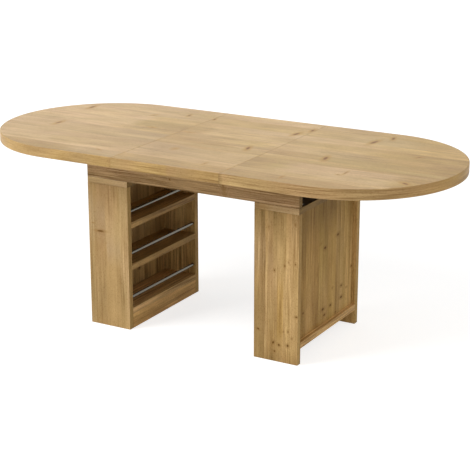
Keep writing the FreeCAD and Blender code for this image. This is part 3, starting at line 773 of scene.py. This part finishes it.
rim_oaks = {
    "left": strip_oak("oak_left_rim", "strip", chosen_staves(LEFT_RIM, RIM_REACH), seed=4.0),
    "right": strip_oak("oak_right_rim", "strip", chosen_staves(RIGHT_RIM, RIM_REACH), seed=6.0),
}
seam_oak = oak(
    "oak_seam_band", "side_y", (204, 170, 122), (140, 110, 68), chance_staves(0.06, SHORT_STAVE, 0.04),
    seed=37.0,
)


def rim_place(turn, inset, centre, half_width):
    """A point of the curved rim, turn from -90 to 90 degrees, set in from the outer face."""
    across = (half_width - inset) * math.sin(turn)
    return Vector((centre + (END_REACH - inset) * math.cos(turn), across, 0))


def long_edges(shape, axis, place):
    """The level edges of the side that stands at a place on the x or y axis."""
    return [
        edge for edge in shape.edges
        if all(abs(getattr(vertex.co, axis) - place) < NEAR for vertex in edge.verts)
        and abs(edge.verts[0].co.z - edge.verts[1].co.z) < NEAR
    ]


for side, way in (("left", -1), ("right", 1)):
    low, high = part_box(side + "_rim_band")
    seam_x = min(abs(low.x), abs(high.x))
    centre = max(abs(low.x), abs(high.x)) - END_REACH

    def station(number, inset):
        """A point of the whole rim, from the front seam round the curve to the back seam."""
        if number == 0:
            return Vector((seam_x, -(high.y - inset), 0))
        if number == RIM_STATIONS + 2:
            return Vector((seam_x, high.y - inset, 0))
        turn = math.radians(-90 + 180 * (number - 1) / RIM_STATIONS)
        return rim_place(turn, inset, centre, high.y)

    runs = [0.0]
    for number in range(1, RIM_STATIONS + 3):
        runs.append(runs[-1] + (station(number, 0) - station(number - 1, 0)).length)
    strip = bmesh.new()
    bmesh.ops.create_grid(strip, x_segments=RIM_STATIONS + 2, y_segments=1, size=0.5)
    for vertex in strip.verts:
        number = round((vertex.co.x + 0.5) * (RIM_STATIONS + 2))
        vertex.co = Vector((runs[number], 0, low.z if vertex.co.y < 0 else high.z))
    glue_side = bmesh.ops.extrude_face_region(strip, geom=strip.faces[:])
    bmesh.ops.translate(strip, vec=(0, BAND, 0), verts=corners_of(glue_side))
    bmesh.ops.recalc_face_normals(strip, faces=strip.faces)
    ease(strip, long_edges(strip, "y", 0.0), RIM_ROUND, ROUND_STEPS)
    unrolled = strip.loops.layers.uv.new("unrolled")
    for face in strip.faces:
        for corner in face.loops:
            flat = corner.vert.co
            fold = flat.y if flat.z > (low.z + high.z) / 2 else -flat.y
            corner[unrolled].uv = (flat.x, flat.z + fold)
    for vertex in strip.verts:
        place, inset, height = vertex.co
        number = max(n for n in range(RIM_STATIONS + 2) if runs[n] <= place + NEAR)
        share = (place - runs[number]) / (runs[number + 1] - runs[number])
        bent = station(number, inset).lerp(station(number + 1, inset), share)
        vertex.co = Vector((way * bent.x, bent.y, height))
    bmesh.ops.recalc_face_normals(strip, faces=strip.faces)
    piece(side + "_rim_band_oak", strip, side + "_top", "edge_band", rim_oaks[side], side + "_rim_band")
    low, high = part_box(side + "_seam_band")
    band = sawn(low, high)
    ease(band, long_edges(band, "x", low.x if way > 0 else high.x), SEAM_EASE[side])
    piece(side + "_seam_band_oak", band, side + "_top", "edge_band", seam_oak, side + "_seam_band")


# Loose leaf. A straight oak board between the half-tops, made like them, with rounded bands on its two
# free edges, thin bands on its seam sides, and beech pegs underneath that place it on the aprons.
# The leaf's rim ends at the right seam in the darkest tint, painted shade of the seam gap.
LEAF_RIM = ((0, (
    (-238, "brown"), (-234, "plain"), (-170, "rosy"), (-90, "honey"), (12, "honey"), (16, "rosy"),
    (70, "plain"), (150, "honey"), (235, "honey"), (236, "shady"),
)),)
leaf_edge_oak = strip_oak("oak_leaf_edges", "front_x", chosen_staves(LEAF_RIM, HALF_TABLE), seed=9.0)
LEAF_ARRIS = 0.1 * MM
LEAF_SEAM_BAND = 1 * MM


def pair_of_bands(cad_part, axis, thickness, eases, steps):
    """Two bands on opposite sides of the leaf, the outer edges of each eased by its own width."""
    low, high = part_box(cad_part)
    pair = bmesh.new()
    for way, width in zip((-1, 1), eases):
        outer = way * getattr(high, axis)
        inner = way * (getattr(high, axis) - thickness)
        start = low.copy()
        end = high.copy()
        setattr(start, axis, min(outer, inner))
        setattr(end, axis, max(outer, inner))
        band = sawn(start, end)
        ease(band, long_edges(band, axis, outer), width, steps)
        mesh = bpy.data.meshes.new("band")
        band.to_mesh(mesh)
        band.free()
        pair.from_mesh(mesh)
        bpy.data.meshes.remove(mesh)
    return pair


plain_board("leaf_board", "oak_top", top_oak, "leaf", arris=LEAF_ARRIS)
edge_bands = pair_of_bands("leaf_edge_bands", "y", BAND, (RIM_ROUND, RIM_ROUND), ROUND_STEPS)
piece("leaf_edge_bands_oak", edge_bands, "leaf", "edge_band", leaf_edge_oak, "leaf_edge_bands")
seam_eases = (SEAM_EASE["left"], SEAM_EASE["right"])
seam_bands = pair_of_bands("leaf_seam_bands", "x", LEAF_SEAM_BAND, seam_eases, 2)
piece("leaf_seam_bands_oak", seam_bands, "leaf", "edge_band", seam_oak, "leaf_seam_bands")
dress(dowel_beech, "leaf_pegs")


# The studio: a wide pale floor, an even white surround, a large soft lamp high at the front left, a weaker
# one at the right, and a faint one low at the front right, so the right end stays darker than the front.
FLOOR_HALF = 40.0
floor_mesh = bpy.data.meshes.new("floor")
floor_shape = bmesh.new()
bmesh.ops.create_grid(floor_shape, x_segments=1, y_segments=1, size=FLOOR_HALF)
floor_shape.to_mesh(floor_mesh)
floor_shape.free()
floor = bpy.data.objects.new("floor", floor_mesh)
bpy.context.scene.collection.objects.link(floor)

# The camera sees a duller paint with a glow, white far from the table and still dark in its shadow.
WHITE = (1, 1, 1, 1)
FLOOR_PAINT = (0.86, 0.86, 0.86, 1)
SEEN_PAINT = (0.5, 0.5, 0.5, 1)
NEAR_GLOW = 0.73
FAR_GLOW = 0.95
GLOW_STARTS = 1.2
GLOW_ENDS = 5.0


def shows_background(tree):
    """True for what the camera sees, straight or in metal and glass."""
    ray = node(tree, "LightPath").outputs
    straight = maths(tree, "MAXIMUM", ray["Is Camera Ray"], ray["Is Glossy Ray"])
    return maths(tree, "MAXIMUM", straight, ray["Is Transmission Ray"])


floor_paint = bpy.data.materials.new("pale_floor")
floor_paint.use_nodes = True
tree = floor_paint.node_tree
tree.nodes.remove(tree.nodes["Principled BSDF"])
paint = node(tree, "BsdfDiffuse", {"Color": FLOOR_PAINT})
seen_paint = node(tree, "BsdfDiffuse", {"Color": SEEN_PAINT})
away = node(tree, "VectorMath", {0: node(tree, "TexCoord").outputs["Object"]}, operation="LENGTH")
glow = fit_range(tree, away.outputs["Value"], GLOW_STARTS, GLOW_ENDS, NEAR_GLOW, FAR_GLOW)
seen_light = node(tree, "Emission", {"Color": WHITE, "Strength": glow})
seen = node(tree, "AddShader", {0: seen_paint.outputs[0], 1: seen_light.outputs[0]})
choice = node(tree, "MixShader", {0: shows_background(tree), 1: paint.outputs[0], 2: seen.outputs[0]})
tree.links.new(choice.outputs[0], tree.nodes["Material Output"].inputs["Surface"])
floor_mesh.materials.append(floor_paint)

SURROUND = 0.44
world = bpy.data.worlds.new("studio")
bpy.context.scene.world = world
world.use_nodes = True
tree = world.node_tree
plain = tree.nodes["Background"]
plain.inputs["Color"].default_value = WHITE
plain.inputs["Strength"].default_value = SURROUND
white = node(tree, "Background", {"Color": WHITE, "Strength": 1.0})
choice = node(tree, "MixShader", {0: shows_background(tree), 1: plain.outputs[0], 2: white.outputs[0]})
tree.links.new(choice.outputs[0], tree.nodes["World Output"].inputs["Surface"])


def softbox(name, place, aim, width, depth, watts, tint=(1.0, 1.0, 1.0)):
    """A soft rectangular lamp that faces the point it is aimed at."""
    lamp = bpy.data.lights.new(name, "AREA")
    lamp.color = tint
    lamp.shape = "RECTANGLE"
    lamp.size = width
    lamp.size_y = depth
    lamp.energy = watts
    holder = bpy.data.objects.new(name, lamp)
    holder.location = place
    holder.rotation_euler = (Vector(aim) - Vector(place)).to_track_quat("-Z", "Y").to_euler()
    bpy.context.scene.collection.objects.link(holder)


TABLE_MIDDLE = (0, 0, 0.5)
TABLE_FOOT = (-0.2, 0, 0.3)
WARM_LIGHT = (1.0, 0.96, 0.88)
softbox("front_left", (-2.6, -3.1, 3.4), TABLE_MIDDLE, width=2.4, depth=2.4, watts=190)
softbox("right", (4.0, -0.8, 3.0), TABLE_MIDDLE, width=2.2, depth=2.2, watts=46, tint=WARM_LIGHT)
softbox("low_right", (3.2, -4.0, 0.9), TABLE_FOOT, width=2.4, depth=1.2, watts=12, tint=WARM_LIGHT)


# The camera stands where the photograph's did, at the front right of the table and above it, with a long
# lens. Its place in metres and its angles in radians were worked out from the table's edges.
FOCAL_LENGTH = 106.869
SENSOR_WIDTH = 36.0
SEES_AS_FAR_AS = 200.0
EYE = (2.723739, -4.678728, 2.066157)
TILTED_DOWN = 0.302444
TURNED_LEFT = 0.519154
lens = bpy.data.cameras.new("camera")
lens.lens = FOCAL_LENGTH
lens.sensor_width = SENSOR_WIDTH
lens.clip_end = SEES_AS_FAR_AS
camera = bpy.data.objects.new("camera", lens)
camera.location = EYE
camera.rotation_euler = (math.radians(90) - TILTED_DOWN, 0, TURNED_LEFT)
bpy.context.scene.collection.objects.link(camera)
bpy.context.scene.camera = camera
bpy.context.scene.view_settings.view_transform = "Standard"
